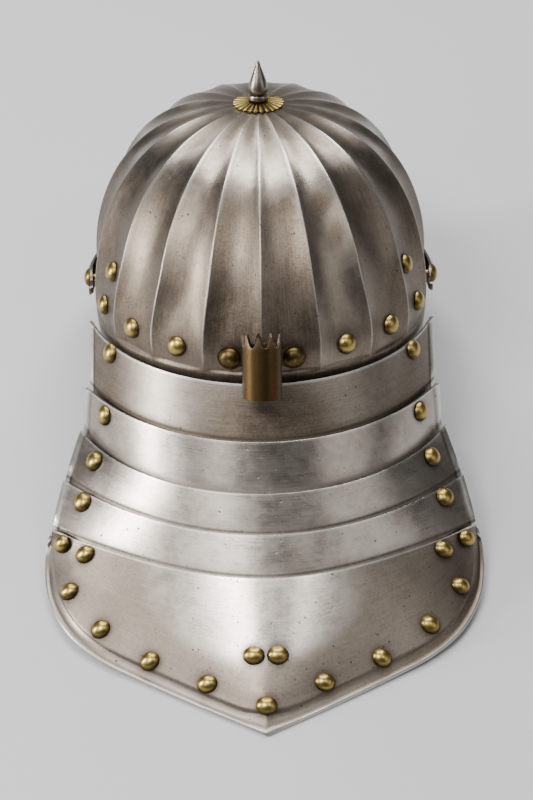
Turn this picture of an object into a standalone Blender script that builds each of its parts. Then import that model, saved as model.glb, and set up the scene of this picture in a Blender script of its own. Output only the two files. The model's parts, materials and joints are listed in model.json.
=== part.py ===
"""Lobster-tail pot helmet: a fluted skull with a peak, and a neck guard of five hinged lames.

The shapes are worked out in the helmet's own frame, in millimetres: the origin is in the middle of
the skull at the height of its row of rivets, +Y is the wearer's front, +X is to the right in a view
from behind, and +Z runs up the skull. The empty helmet_frame then lays the helmet down as it rests
on a table, on the tip of its peak and the rim of its last lame.
"""

import math
from collections import namedtuple

import bmesh
import bpy
import numpy as np
from mathutils import Matrix, Vector
from mathutils.bvhtree import BVHTree

MM = 0.001
GAP = 0.35  # left between two pieces that touch
PLATE = 1.5  # thickness of the skull, the peak and the lames

LIE_ANGLE = math.radians(18.5)  # how far the resting helmet leans forward
FRAME_Y = 61.4  # centres the helmet over the origin
FRAME_LIFT = 1.298  # for the thickness of its rim

# Skull. FLUTE_FOOT is where the flutes run out into the plain band round its rim.
SKULL_HALF_WIDTH = 104.0
SKULL_HALF_LENGTH = 116.0
SKULL_HEIGHT = 114.5  # above the row of rivets
BACK_SQUARENESS = 1.93  # 2 would be an ellipse seen from the side
SIDE_SQUARENESS = 2.4
FRONT_SQUARENESS = 3.4
ROW_SQUARENESS = 2.5  # spreads the rows of faces over the dome
SKULL_TAPER = 0.001  # a millimetre, below the rivets
SKULL_RIM = -27.0
FLUTES = 18
FLUTE_ANGLE = 2 * math.pi / FLUTES
FLUTE_FOOT = -12.5
FLUTE_FLOOR = -9.5
FLUTE_FULL_HEIGHT = 35.0
FLUTE_DEPTH_LOW = 1.5
FLUTE_TRAY = 4.0  # how flat the hollows are at their feet, where 2 is a round hollow
FLUTE_DEPTH = 5.2
FLUTE_LEAN_LOW = math.radians(2.2)  # how far the flutes at the sides are shifted to the back
FLUTE_LEAN = math.radians(6.0)
FLUTE_LEAN_HEIGHT = 45.0
CROWN_HOLE = 3.6  # radius, for the stem of the spike
COLUMNS_A_FLUTE = 4
SKULL_ROWS = (12, 27, 43, 58, 71, 82)  # angles up the outside above the rivets

# Lames: the upper edge of each, which is level. A roundness near 1 is half an ellipse, 0 is a
# parabola, and below 0 the sides run straight.
Lame = namedtuple("Lame", "top half_width corner_y centre_y roundness")
LAMES = (
    Lame(top=-15.0, half_width=105.2, corner_y=-24.0, centre_y=-119.5, roundness=0.90),
    Lame(top=-45.0, half_width=107.0, corner_y=-57.0, centre_y=-134.5, roundness=0.66),
    Lame(top=-71.0, half_width=111.3, corner_y=-63.0, centre_y=-149.0, roundness=0.79),
    Lame(top=-90.5, half_width=120.4, corner_y=-91.5, centre_y=-162.5, roundness=0.10),
    Lame(top=-110.0, half_width=126.5, corner_y=-119.0, centre_y=-178.0, roundness=-2.0),
)
LAME_OVERLAP = 10.0  # how far a lame reaches down inside the next one
LAME_INSET = 2.9  # how far its outside lies in from the outside of the next one
LAME_INSET_CORNER = 1.7  # and how much more at the corners
LAME_FORWARD = 0.022  # how far its ends pass the corners of the next one, as a share
TURNED_EDGE = 1.2  # how far the side edges are turned out
TURNED_WIDTH = 2.4
LAME_COLUMNS = 22
LAST_COLUMNS = 32

# Last lame: its rim, from the tip round to the upper corner, lifted off the table towards the sides.
RimPoint = namedtuple("RimPoint", "x y lift")
TAIL_TIP = Vector((0.0, -237.0, -176.8))
RIM = (
    RimPoint(x=0.0, y=-237.0, lift=0.0),
    RimPoint(x=36.0, y=-219.0, lift=0.0),
    RimPoint(x=72.0, y=-200.5, lift=0.8),
    RimPoint(x=97.0, y=-187.0, lift=2.6),
    RimPoint(x=115.0, y=-171.0, lift=4.3),
    RimPoint(x=127.0, y=-149.0, lift=5.4),
    RimPoint(x=131.0, y=-127.0, lift=6.4),
    RimPoint(x=130.0, y=-115.0, lift=13.0),
    RimPoint(x=126.5, y=-119.0, lift=23.3),
)
RIM_BAND = 9.0  # the recessed band and bead along the rim
RIM_BAND_TIP = 4.0  # how much wider it is at the tip
RIM_TIP_WIDTH = 0.05  # over this share of the half of the rim
RIM_TAPER = 3.0  # it narrows where the lame is shorter than this many bands
BandRow = namedtuple("BandRow", "inwards raised")
BAND_ROWS = (  # in millimetres from the rim, and off the line of the lame
    BandRow(inwards=0.0, raised=0.2),
    BandRow(inwards=1.4, raised=1.3),
    BandRow(inwards=2.9, raised=-0.8),
    BandRow(inwards=7.6, raised=-0.8),
    BandRow(inwards=9.0, raised=0.0),
)

# Peak.
PEAK_TOP = 7.0  # the flange that is riveted to the skull
PEAK_BEND = -9.0
PEAK_END = math.radians(5.0)  # how far the flange runs back past the side rivets
PEAK_REACH = 53.5
PEAK_SPREAD = 1.6  # how slowly its reach grows near the sides
PEAK_GROWTH = 1.2  # it is at full reach at 90 / 1.2 degrees from the side
PEAK_POINT = 8.0
PEAK_POINT_WIDTH = math.radians(35)
PEAK_EDGE_SIDE = -16.0  # height of its edge at the sides
PEAK_SIDE_ANGLE = math.radians(40)
PEAK_LEAST = 1.2
PEAK_TIP_LIFT = -0.15  # for the thickness of its edge
PEAK_COLUMNS = 32

# Rosette, spike and plume holder.
PETALS = 24
ROSETTE_RADIUS = 15.6
ROSETTE_NOTCH = 1.3
ROSETTE_HOLE = 3.6
ROSETTE_PLATE = 1.0
ROSETTE_DOME = 1.2
ROSETTE_TILT = 0.06
Ring = namedtuple("Ring", "radius height")
SPIKE = (  # its point, drop, collar, stem and the disc that is peened over inside
    Ring(radius=0.0, height=141.7),
    Ring(radius=0.9, height=141.1),
    Ring(radius=2.0, height=137.3),
    Ring(radius=3.4, height=133.6),
    Ring(radius=4.8, height=129.8),
    Ring(radius=5.7, height=126.2),
    Ring(radius=5.8, height=123.8),
    Ring(radius=5.0, height=121.8),
    Ring(radius=3.9, height=121.0),
    Ring(radius=5.8, height=120.7),
    Ring(radius=6.3, height=119.4),
    Ring(radius=5.9, height=117.8),
    Ring(radius=3.1, height=117.8),
    Ring(radius=3.1, height=112.1),
    Ring(radius=6.3, height=112.1),
    Ring(radius=6.3, height=110.3),
    Ring(radius=0.0, height=110.3),
)
HOLDER_RADIUS = 11.2
HOLDER_WALL = 1.2
HOLDER_FOOT = Vector((0.0, -140.0, -14.2))  # middle of its lower end
HOLDER_LEAN = math.radians(16)  # leans towards the skull
HOLDER_LENGTH = 28.9  # to the notches between its points
HOLDER_POINT = 6.2
HOLDER_POINTS = 9
HOLDER_TURN = math.radians(-10)
EAR_RADIUS = 7.2
EAR_WAIST = 5.0
EAR_PLATE = 1.4
EAR_COLUMNS = (-14.05, -13.2, -12, -10, -8, -6.8, 0, 6.8, 8, 10, 12, 13.2, 14.05)
WEB_LOW = (-3.0, -121.0, -6.5)  # the web between the strap and the tube
WEB_HIGH = (3.0, -117.0, 8.0)
WEB_REACH = 10.6  # it ends inside the tube's wall

# Rivets.
SHANK = 2.0
SHANK_END = 1.0  # how far it stands out inside
HOLE = 2.8
HOLE_DEPTH = 9.0
ROW_RISE = 4.0  # how much higher the row runs over the ears
ROW_ANGLE = FLUTE_ANGLE / 2  # the first rivet of the row round the skull
HEAD = 6.2  # radius
BIG_HEAD = 6.3
DOME = 0.62  # height of a head as a share of its radius

ROW_THROUGH = 6.2  # length through the skull and the peak or the plume holder
Pivot = namedtuple("Pivot", "across up through")  # up from the lame's lower end; see lame_surface
PIVOTS = (
    Pivot(across=0.860, up=35.4, through=7.5),
    Pivot(across=0.877, up=28.4, through=5.2),
    Pivot(across=0.885, up=23.2, through=5.2),
    Pivot(across=0.885, up=25.0, through=5.2),
    Pivot(across=0.776, up=1.785, through=5.2),
)
Spot = namedtuple("Spot", "across row")
RIM_RIVETS = (  # share of half the rim from its tip, and row of the last lame
    Spot(across=0.186, row=1.09),
    Spot(across=0.372, row=1.07),
    Spot(across=0.553, row=1.13),
    Spot(across=0.727, row=1.17),
    Spot(across=0.900, row=1.62),
)
TIP_RIVET_ROW = 1.05
MIDDLE = Spot(across=0.041, row=1.405)
High = namedtuple("High", "angle rise")
HIGH = {"left": High(angle=68.2, rise=11.1), "right": High(angle=66.3, rise=13.2)}

ROOT = "helmet_frame"


# ---------------------------------------------------------------- surfaces, in millimetres


def squareness(angle):
    back = math.cos(angle)
    most = BACK_SQUARENESS if back > 0 else FRONT_SQUARENESS
    return SIDE_SQUARENESS + (most - SIDE_SQUARENESS) * back * back


def smooth(low, high, value):
    share = min(max((value - low) / (high - low), 0.0), 1.0)
    return share * share * (3 - 2 * share)


def flute_inset(angle, height, scale):
    across = 2 * ((angle / FLUTE_ANGLE) % 1.0) - 1  # 0 in the middle of a flute, 1 at its ridges
    foot = smooth(FLUTE_FOOT, FLUTE_FLOOR, height)
    up = smooth(-5, FLUTE_FULL_HEIGHT, height)
    deep = FLUTE_DEPTH_LOW + (FLUTE_DEPTH - FLUTE_DEPTH_LOW) * up
    return foot * deep * scale * (1 - abs(across) ** (FLUTE_TRAY + (2 - FLUTE_TRAY) * up))


def skull_point(angle, height, scale):
    """A point of the outside of the skull, whose section there has this share of its full size."""
    out = -flute_inset(angle, height, scale)
    lean = FLUTE_LEAN_LOW + (FLUTE_LEAN - FLUTE_LEAN_LOW) * smooth(0, FLUTE_LEAN_HEIGHT, height)
    angle -= lean * math.sin(angle)
    normal = Vector((math.sin(angle) / SKULL_HALF_WIDTH, -math.cos(angle) / SKULL_HALF_LENGTH, 0)).normalized()
    x = SKULL_HALF_WIDTH * scale * math.sin(angle)
    y = -SKULL_HALF_LENGTH * scale * math.cos(angle)
    return Vector((x, y, height)) + out * normal


def table_height(y, lift=0.0):
    """The height of the table, in the helmet's own frame, under a point at y."""
    return TAIL_TIP.z + (y - TAIL_TIP.y) * math.tan(LIE_ANGLE) + lift


def lame_section(lame, across):
    """A point of a lame's upper edge; across runs from -1 to 1."""
    bend = lame.roundness
    depth = (1 - math.sqrt(1 - bend * across * across)) / (1 - math.sqrt(1 - bend))
    y = lame.centre_y + (lame.corner_y - lame.centre_y) * depth
    return Vector((lame.half_width * across, y, lame.top))


def lame_inner_edge(lame, across):
    """Where the lame above passes inside the upper edge of this one."""
    wide = across * (1 + LAME_FORWARD)
    step = 0.001
    along = lame_section(lame, wide + step) - lame_section(lame, wide - step)
    inwards = Vector((-along.y, along.x, 0)).normalized()
    return lame_section(lame, wide) + inwards * (LAME_INSET + LAME_INSET_CORNER * across**4)


def lame_fall(number, across):
    """How a lame runs from its upper edge, for each millimetre down."""
    if number == len(LAMES):
        share = last_share(across)
        run = last_rim(share) - last_top(share)
    else:
        run = lame_inner_edge(LAMES[number], across) - lame_section(LAMES[number - 1], across)
    return run / -run.z


def lame_point(number, across, down):
    """A point of the outside of lame 1 to 4; down is in millimetres below its upper edge."""
    lame, below = LAMES[number - 1], LAMES[number]
    over = down - (lame.top - below.top)
    if over <= 0:
        return lame_section(lame, across) + lame_fall(number, across) * down
    beside = across * (1 + LAME_FORWARD)
    return lame_inner_edge(below, across) + lame_fall(number + 1, beside) * over


def rounded(points, share):
    """A point of the smooth curve through the points, at a share of its length."""
    place = share * (len(points) - 1)
    index = min(int(place), len(points) - 2)
    part = place - index
    before = points[index - 1] if index else 2 * points[0] - points[1]
    after = points[index + 2] if index + 2 < len(points) else 2 * points[-1] - points[-2]
    start, end = points[index], points[index + 1]
    return 0.5 * (
        2 * start
        + (end - before) * part
        + (2 * before - 5 * start + 4 * end - after) * part**2
        + (3 * (start - end) + after - before) * part**3
    )


def by_length(curve):
    """The curve, taken by a share of its length from -1 to 1, and the share at each of its own values."""
    steps = np.linspace(-1, 1, 401)
    points = [curve(step) for step in steps]
    lengths = np.cumsum([0.0] + [(end - start).length for start, end in zip(points, points[1:])])
    shares = 2 * lengths / lengths[-1] - 1
    return (
        lambda share: curve(float(np.interp(share, shares, steps))),
        lambda value: float(np.interp(value, steps, shares)),
    )


def rim_line(across):
    points = [Vector((point.x, point.y, table_height(point.y, point.lift))) for point in RIM]
    found = rounded(points, min(abs(across), 1.0))
    return Vector((math.copysign(found.x, across), found.y, found.z))


last_top, last_share = by_length(lambda across: lame_section(LAMES[-1], across))
last_rim, _ = by_length(rim_line)


def last_lame_point(across, row):
    """A point of the outside of the last lame: row runs over its rim band to 1, and on to 2 at its top."""
    rim, top = last_rim(across), last_top(across)
    length = (top - rim).length
    band = RIM_BAND + RIM_BAND_TIP * math.exp(-((across / RIM_TIP_WIDTH) ** 2))
    band /= max(length, RIM_TAPER * band)
    return rim.lerp(top, row * band if row < 1 else band + (1 - band) * (row - 1))


def last_lame_relief(across, row):
    return float(np.interp(row * RIM_BAND, [r.inwards for r in BAND_ROWS], [r.raised for r in BAND_ROWS]))


def skull_surface(angle, row):
    """Angle 0 is the middle of the back. Rows below 0 are heights, and rows above it angles up to the crown."""
    if row < 0:
        return skull_point(angle, row, 1 + SKULL_TAPER * row)
    scale = math.cos(row) ** (2 / ROW_SQUARENESS)
    height = SKULL_HEIGHT * (1 - scale ** squareness(angle)) ** (1 / squareness(angle))
    return skull_point(angle, height, scale)


def peak_surface(angle, row):
    """Angle 0 is over the right ear; row runs from 0 at the edge over 1 at the bend to 2 at the top."""
    turn = max(min(angle, math.pi - angle, math.pi / 2), 0.0)
    past = min(max(-angle, angle - math.pi, 0.0) / PEAK_END, 1.0)
    ear = math.sqrt(1.04 - past * past)
    middle = row_height(angle + math.pi / 2)
    low, high = middle + PEAK_BEND * ear, middle + PEAK_TOP * ear
    point = max(0.0, 1 - (math.pi / 2 - turn) / PEAK_POINT_WIDTH)
    reach = PEAK_REACH * math.sin(min(PEAK_GROWTH * turn, math.pi / 2)) ** PEAK_SPREAD
    reach = max(reach + PEAK_POINT * point**2, PEAK_LEAST)
    bend = plain_point(angle + math.pi / 2, low, GAP + PLATE)
    if row > 1:
        return bend + Vector((0, 0, (row - 1) * (high - low)))
    edge = plain_point(angle + math.pi / 2, 0, GAP + PLATE + reach)
    side = low + (PEAK_EDGE_SIDE - low) * smooth(0, PEAK_SIDE_ANGLE, turn)
    tip = table_height(SKULL_HALF_LENGTH + GAP + PLATE + PEAK_REACH + PEAK_POINT, PEAK_TIP_LIFT)
    edge.z = side + (tip - PEAK_EDGE_SIDE) * smooth(PEAK_SIDE_ANGLE, math.pi / 2, turn)
    return edge.lerp(bend, row)


def row_height(angle):
    """How high the row of rivets round the skull runs."""
    return ROW_RISE * math.sin(angle) ** 2


def row_at(angle, height):
    """The row of the skull's surface that is at a height above 0."""
    scale = (1 - (height / SKULL_HEIGHT) ** squareness(angle)) ** (1 / squareness(angle))
    return math.acos(scale ** (ROW_SQUARENESS / 2))


def plain_point(angle, height, out):
    """A point outside the skull, as if it had no flutes."""
    normal = Vector((math.sin(angle) / SKULL_HALF_WIDTH, -math.cos(angle) / SKULL_HALF_LENGTH, 0))
    x, y = SKULL_HALF_WIDTH * math.sin(angle), -SKULL_HALF_LENGTH * math.cos(angle)
    return Vector((x, y, height)) + out * normal.normalized()


def holder_surface(angle, row):
    """Rows are lengths from the foot, and the points stand in the last row, 1 above the notches."""
    wave = (0.5 + 0.5 * math.cos(HOLDER_POINTS * (angle - HOLDER_TURN))) ** 1.4
    length = row + HOLDER_POINT * wave * min(max(row - HOLDER_LENGTH, 0.0), 1.0)
    ring = Vector((HOLDER_RADIUS * math.sin(angle), -HOLDER_RADIUS * math.cos(angle), length))
    return HOLDER_FOOT + Matrix.Rotation(-HOLDER_LEAN, 3, "X") @ ring


def ear_surface(across, row):
    """The strap that is riveted to the skull: across is in radians and row from -1 to 1."""
    away = (abs(across) - ROW_ANGLE) * SKULL_HALF_WIDTH
    ear = math.sqrt(max(EAR_RADIUS**2 - away**2, 1.0))
    half = ear if away > 0 else max(ear, EAR_WAIST)
    return plain_point(across, half * row, GAP + EAR_PLATE)


def rosette_surface(angle, row):
    """Rows run from 0 at the edge to 1 at the hole."""
    share = 1 - row
    wave = abs(math.sin(PETALS * angle / 2))
    radius = ROSETTE_HOLE + share * (ROSETTE_RADIUS - ROSETTE_NOTCH * (1 - wave) - ROSETTE_HOLE)
    height = SKULL_HEIGHT + GAP + ROSETTE_PLATE + ROSETTE_DOME * (1 - share * share)
    height -= ROSETTE_TILT * radius * math.cos(angle)
    return Vector((radius * math.sin(angle), -radius * math.cos(angle), height))


# ---------------------------------------------------------------- objects


def normal_at(surface, column, row):
    step = 1e-3
    along = surface(column + step, row) - surface(column - step, row)
    upwards = surface(column, row + step) - surface(column, row - step)
    return along.cross(upwards).normalized()


def sheet(surface, columns, rows, thickness=PLATE, relief=None):
    """A closed piece of plate whose outside follows the surface, seen with the rows running up."""
    shape = bmesh.new()
    bmesh.ops.create_grid(shape, x_segments=len(columns) - 1, y_segments=len(rows) - 1, size=0.5)
    column_of = shape.verts.layers.float.new("column")
    row_of = shape.verts.layers.float.new("row")
    for vert in shape.verts:
        vert[column_of] = columns[round((vert.co.x + 0.5) * (len(columns) - 1))]
        vert[row_of] = rows[round((vert.co.y + 0.5) * (len(rows) - 1))]
        vert.co = surface(vert[column_of], vert[row_of]) * MM
    bmesh.ops.remove_doubles(shape, verts=shape.verts, dist=0.01 * MM)
    outside = set(shape.verts)
    bmesh.ops.extrude_face_region(shape, geom=shape.faces[:], use_keep_orig=True)
    for vert in shape.verts:
        place = (vert[column_of], vert[row_of])
        raised = (relief(*place) if relief else 0.0) if vert in outside else -thickness
        vert.co += normal_at(surface, *place) * raised * MM
    bmesh.ops.recalc_face_normals(shape, faces=shape.faces)
    bmesh.ops.triangulate(shape, faces=shape.faces)
    return shape


def turned(profile, sides):
    """A solid turned about Z, from a table of radii and heights that starts and ends on the axis."""
    shape = bmesh.new()
    verts = [shape.verts.new((ring.radius * MM, 0, ring.height * MM)) for ring in profile]
    edges = [shape.edges.new(pair) for pair in zip(verts, verts[1:])]
    bmesh.ops.spin(
        shape, geom=verts + edges, axis=(0, 0, 1), cent=(0, 0, 0), angle=2 * math.pi, steps=sides,
        use_merge=True,
    )
    bmesh.ops.remove_doubles(shape, verts=shape.verts, dist=0.001 * MM)
    bmesh.ops.recalc_face_normals(shape, faces=shape.faces)
    return shape


def material(name, colour, roughness):
    made = bpy.data.materials.new(name)
    made.use_nodes = True
    shader = made.node_tree.nodes["Principled BSDF"]
    shader.inputs["Base Color"].default_value = (*colour, 1)
    shader.inputs["Metallic"].default_value = 1
    shader.inputs["Roughness"].default_value = roughness
    return made


def body(name, parent=None, pivot=Vector((0, 0, 0))):
    """An empty on which pieces turn, at a place in the helmet's own frame."""
    empty = bpy.data.objects.new(name, None)
    bpy.context.scene.collection.objects.link(empty)
    if parent:
        empty.parent = parent
        empty.location = (pivot - Vector(parent["pivot"])) * MM
    empty["pivot"] = pivot
    return empty


def piece(name, shape, holder, look, sharp=math.radians(30)):
    """A node made from a shape in the helmet's own frame, held by a body."""
    shape.transform(Matrix.Translation(-Vector(holder["pivot"]) * MM))
    mesh = bpy.data.meshes.new(name)
    shape.to_mesh(mesh)
    mesh.shade_smooth()
    mesh.set_sharp_from_angle(angle=sharp)
    mesh.materials.append(look)
    return place(name, mesh, holder)


def place(name, mesh, holder):
    made = bpy.data.objects.new(name, mesh)
    bpy.context.scene.collection.objects.link(made)
    made.parent = holder
    return made


def cut(target, shapes):
    """Cuts all the shapes, which are in the helmet's own frame, out of the target."""
    whole = bpy.data.meshes.new(target.name + "_cutter")
    joined = bmesh.new()
    for shape in shapes:
        shape.to_mesh(whole)
        joined.from_mesh(whole)
    joined.transform(Matrix.Translation(-Vector(target.parent["pivot"]) * MM))
    joined.to_mesh(whole)
    cutter = place(whole.name, whole, target.parent)
    cutter.hide_render = True
    cutter.display_type = "WIRE"
    modifier = target.modifiers.new("cut", "BOOLEAN")
    modifier.operation = "DIFFERENCE"
    modifier.solver = "EXACT"
    modifier.object = cutter


def outward_matrix(centre, normal):
    """Where a rivet stands: its own Z along the normal, and its X as level as that allows."""
    side = Vector((0, 0, 1)).cross(normal).normalized()
    turn = Matrix((side, normal.cross(side), normal)).transposed().to_4x4()
    return Matrix.Translation(centre * MM) @ turn


class Rivet:
    """A rivet at a column and row of the outside of a plate."""

    def __init__(self, name, plate, surface, column, row, head=HEAD, through=PLATE):
        self.name, self.plate, self.head, self.through = name, plate, head, through
        self.centre = surface(column, row)
        self.normal = normal_at(surface, column, row)
        self.matrix = outward_matrix(self.centre, self.normal)

    def hole(self):
        shape = bmesh.new()
        bmesh.ops.create_cone(
            shape, cap_ends=True, segments=6, radius1=HOLE * MM, radius2=HOLE * MM,
            depth=2 * HOLE_DEPTH * MM, matrix=self.matrix,
        )
        return shape

    def seat(self):
        """How high the head stands off the centre, so that its underside clears the plate."""
        tree = BVHTree.FromBMesh(self.plate)
        above = 2 * self.head
        heights = [0.0]
        for share in (0.4, 0.7, 1.0):
            for turn in np.linspace(0, 2 * math.pi, 33)[:-1]:
                reach = share * self.head
                start = self.matrix @ (Vector((reach * math.cos(turn), reach * math.sin(turn), above)) * MM)
                distance = tree.ray_cast(start, -self.normal, 2 * above * MM)[3]
                if distance is not None:
                    heights.append(above - distance / MM)
        return max(heights) + GAP

    def build(self, holder, look):
        seat = self.seat()
        dome = DOME * self.head
        profile = [
            Ring(0, seat + dome),
            Ring(0.62 * self.head, seat + 0.76 * dome),
            Ring(self.head, seat),
            Ring(SHANK, seat),
            Ring(SHANK, -self.through - SHANK_END),
            Ring(0, -self.through - SHANK_END),
        ]
        shape = turned(profile, 8)
        shape.transform(self.matrix)
        return piece(self.name, shape, holder, look, math.radians(50))


def box(low, high):
    shape = bmesh.new()
    bmesh.ops.create_cube(shape, size=1.0)
    for vert in shape.verts:
        vert.co = Vector([(a + b) / 2 + (b - a) * c for a, b, c in zip(low, high, vert.co)]) * MM
    return shape


def add_to(target, shape):
    """Joins a shape to the target, as if soldered on."""
    mesh = bpy.data.meshes.new(target.name + "_more")
    shape.transform(Matrix.Translation(-Vector(target.parent["pivot"]) * MM))
    shape.to_mesh(mesh)
    more = place(mesh.name, mesh, target.parent)
    more.hide_render = True
    more.display_type = "WIRE"
    modifier = target.modifiers.new("join", "BOOLEAN")
    modifier.operation = "UNION"
    modifier.solver = "EXACT"
    modifier.object = more


def pair(name, plate, surface, column, row, **more):
    """Two rivets, one on either side."""
    return [
        Rivet(name + "_left", plate, surface, -column, row, **more),
        Rivet(name + "_right", plate, surface, column, row, **more),
    ]


def around(count):
    return [2 * math.pi * step / count for step in range(count + 1)]


def lame_drop(number):
    """How far a lame reaches below its upper edge."""
    return LAMES[number - 1].top - LAMES[number].top + LAME_OVERLAP


def lame_surface(number):
    """The outside of a lame; its rows run up, in millimetres except on the last one."""
    if number == len(LAMES):
        return last_lame_point
    return lambda across, row: lame_point(number, across, lame_drop(number) - row)


def lame_shape(number):
    if number == len(LAMES):
        rows = [row.inwards / RIM_BAND for row in BAND_ROWS] + [2.0]
        columns = list(np.linspace(-1, 1, LAST_COLUMNS + 1))
        return sheet(last_lame_point, columns, rows, relief=last_lame_relief)
    lame = LAMES[number - 1]
    even, _ = by_length(lambda across: lame_section(lame, across))
    bend = 1 - TURNED_WIDTH / (2 * lame.half_width)
    shares = [*np.linspace(-1, -bend, 2), *np.linspace(-bend, bend, LAME_COLUMNS + 1)[1:-1], *np.linspace(bend, 1, 2)]
    columns = [even(share).x / lame.half_width for share in shares]
    rows = [0, LAME_OVERLAP, lame_drop(number)]
    return sheet(
        lame_surface(number), columns, rows,
        relief=lambda across, row: TURNED_EDGE if abs(across) > 0.9999 else 0.0,
    )


# ---------------------------------------------------------------- the helmet

for obj in list(bpy.data.objects):
    bpy.data.objects.remove(obj)

steel = material("steel", (0.42, 0.41, 0.39), 0.32)
brass = material("rivet_brass", (0.45, 0.36, 0.17), 0.42)
holder_brass = material("holder_brass", (0.42, 0.27, 0.16), 0.4)

frame = body(ROOT)
frame.rotation_euler = (-LIE_ANGLE, 0, 0)
tip_height = (Matrix.Rotation(-LIE_ANGLE, 3, "X") @ TAIL_TIP).z
frame.location = (0, FRAME_Y * MM, (FRAME_LIFT - tip_height) * MM)

# The plates.
crown = math.acos((CROWN_HOLE / SKULL_HALF_WIDTH) ** (ROW_SQUARENESS / 2))
skull_rows = [SKULL_RIM, FLUTE_FOOT, FLUTE_FLOOR, *map(math.radians, SKULL_ROWS), crown]
skull_shape = sheet(skull_surface, around(FLUTES * COLUMNS_A_FLUTE), skull_rows)
ends = [PEAK_END, 0.65 * PEAK_END]
peak_columns = [-end for end in ends] + list(np.linspace(0, math.pi, PEAK_COLUMNS - 3))
peak_columns += [math.pi + end for end in reversed(ends)]
peak_shape = sheet(peak_surface, peak_columns, [0, 1, 2])
ear_columns = [math.radians(angle) for angle in EAR_COLUMNS]
ear_shape = sheet(ear_surface, ear_columns, [-1, 0, 1], EAR_PLATE)
shapes = [skull_shape] + [lame_shape(number) for number in range(1, len(LAMES) + 1)]

# The rivets of each body, the skull's first.
rivets = [[] for _ in shapes]
for number, pivot in enumerate(PIVOTS, 1):
    rivets[number] += pair(
        f"pivot_{number}", shapes[number], lame_surface(number), pivot.across, pivot.up,
        through=pivot.through,
    )
peak_middle = 1 - PEAK_BEND / (PEAK_TOP - PEAK_BEND)
for count in range(FLUTES):
    angle = ROW_ANGLE + count * FLUTE_ANGLE
    name = f"rivet_row_{count + 1:02d}"
    on_peak = math.pi / 2 - 0.5 * ROW_ANGLE < angle < 3 * math.pi / 2 + 0.5 * ROW_ANGLE
    if count in (0, FLUTES - 1):
        side = ROW_ANGLE if count == 0 else -ROW_ANGLE
        made = Rivet(name, ear_shape, ear_surface, side, 0.0, head=BIG_HEAD, through=ROW_THROUGH)
    elif on_peak:
        made = Rivet(name, peak_shape, peak_surface, angle - math.pi / 2, peak_middle, through=ROW_THROUGH)
    else:
        made = Rivet(name, skull_shape, skull_surface, angle, row_at(angle, row_height(angle)))
    rivets[0].append(made)
for side, sign in (("left", -1), ("right", 1)):
    high = HIGH[side]
    name, column, row = f"rivet_high_{side}", sign * math.radians(high.angle), math.radians(high.rise)
    rivets[0].append(Rivet(name, skull_shape, skull_surface, column, row))
for count, spot in enumerate(RIM_RIVETS, 1):
    # The pair at the corners lies over the end of the lame above, so it is flush inside.
    through = PLATE - SHANK_END if count == len(RIM_RIVETS) else PLATE
    rivets[-1] += pair(
        f"rim_rivet_{count}", shapes[-1], last_lame_point, spot.across, spot.row, through=through
    )
rivets[-1] += pair(
    "middle_rivet", shapes[-1], last_lame_point, MIDDLE.across, MIDDLE.row, head=BIG_HEAD
)
rivets[-1].append(Rivet("rim_rivet_tip", shapes[-1], last_lame_point, 0.0, TIP_RIVET_ROW))

# The bodies: the skull and what is fixed to it, and the lames, each on the one above.
pivots = [Vector((0, group[0].centre.y, group[0].centre.z)) for group in rivets[1:]]
bodies = [frame]
for number, pivot in enumerate(pivots, 1):
    bodies.append(body(f"lame_{number}_pivot", bodies[-1], pivot))
names = ["skull"] + [f"lame_{number}" for number in range(1, len(shapes))]
for number, (name, shape, holder) in enumerate(zip(names, shapes, bodies)):
    for rivet in rivets[number]:
        rivet.build(holder, brass)
    # A hole takes its own rivet and, in the plate underneath, the rivet of the next lame's pivot.
    through_here = list(rivets[number])
    if number < len(LAMES):
        through_here += [rivet for rivet in rivets[number + 1] if rivet.name.startswith("pivot")]
    cut(piece(name, shape, holder, steel), [rivet.hole() for rivet in through_here])

peak = piece("peak", peak_shape, frame, steel)
cut(peak, [rivet.hole() for rivet in rivets[0] if rivet.plate is peak_shape])
piece("rosette", sheet(rosette_surface, around(2 * PETALS), [0, 1], ROSETTE_PLATE), frame, brass)
piece("spike", turned(SPIKE, 10), frame, steel, math.radians(40))

tube_rows = [0, HOLDER_LENGTH, HOLDER_LENGTH + 1]
tube = sheet(holder_surface, around(4 * HOLDER_POINTS), tube_rows, HOLDER_WALL)
web = box(WEB_LOW, WEB_HIGH)
for vert in web.verts:
    if vert.co.y < (WEB_LOW[1] + WEB_HIGH[1]) / 2 * MM:
        away = WEB_REACH / math.cos(HOLDER_LEAN) - HOLDER_FOOT.z * math.tan(HOLDER_LEAN)
        vert.co.y = (HOLDER_FOOT.y + away) * MM + vert.co.z * math.tan(HOLDER_LEAN)
plume_holder = piece("plume_holder", tube, frame, holder_brass)
add_to(plume_holder, web)
add_to(plume_holder, ear_shape)
cut(plume_holder, [rivet.hole() for rivet in rivets[0] if rivet.plate is ear_shape])
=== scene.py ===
"""The finish of the lobster-tail pot helmet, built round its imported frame.

The plates, rivets and fittings are modelled again at full detail over the solids of the frame. Their
shapes are worked out in millimetres in the helmet's own frame, whose origin is in the middle of the
skull at the height of its row of rivets, with +Y to the wearer's front and +Z up the skull.
"""

import json
import math
from collections import namedtuple

import bmesh
import bpy
import numpy as np
from mathutils import Matrix, Vector


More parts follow.
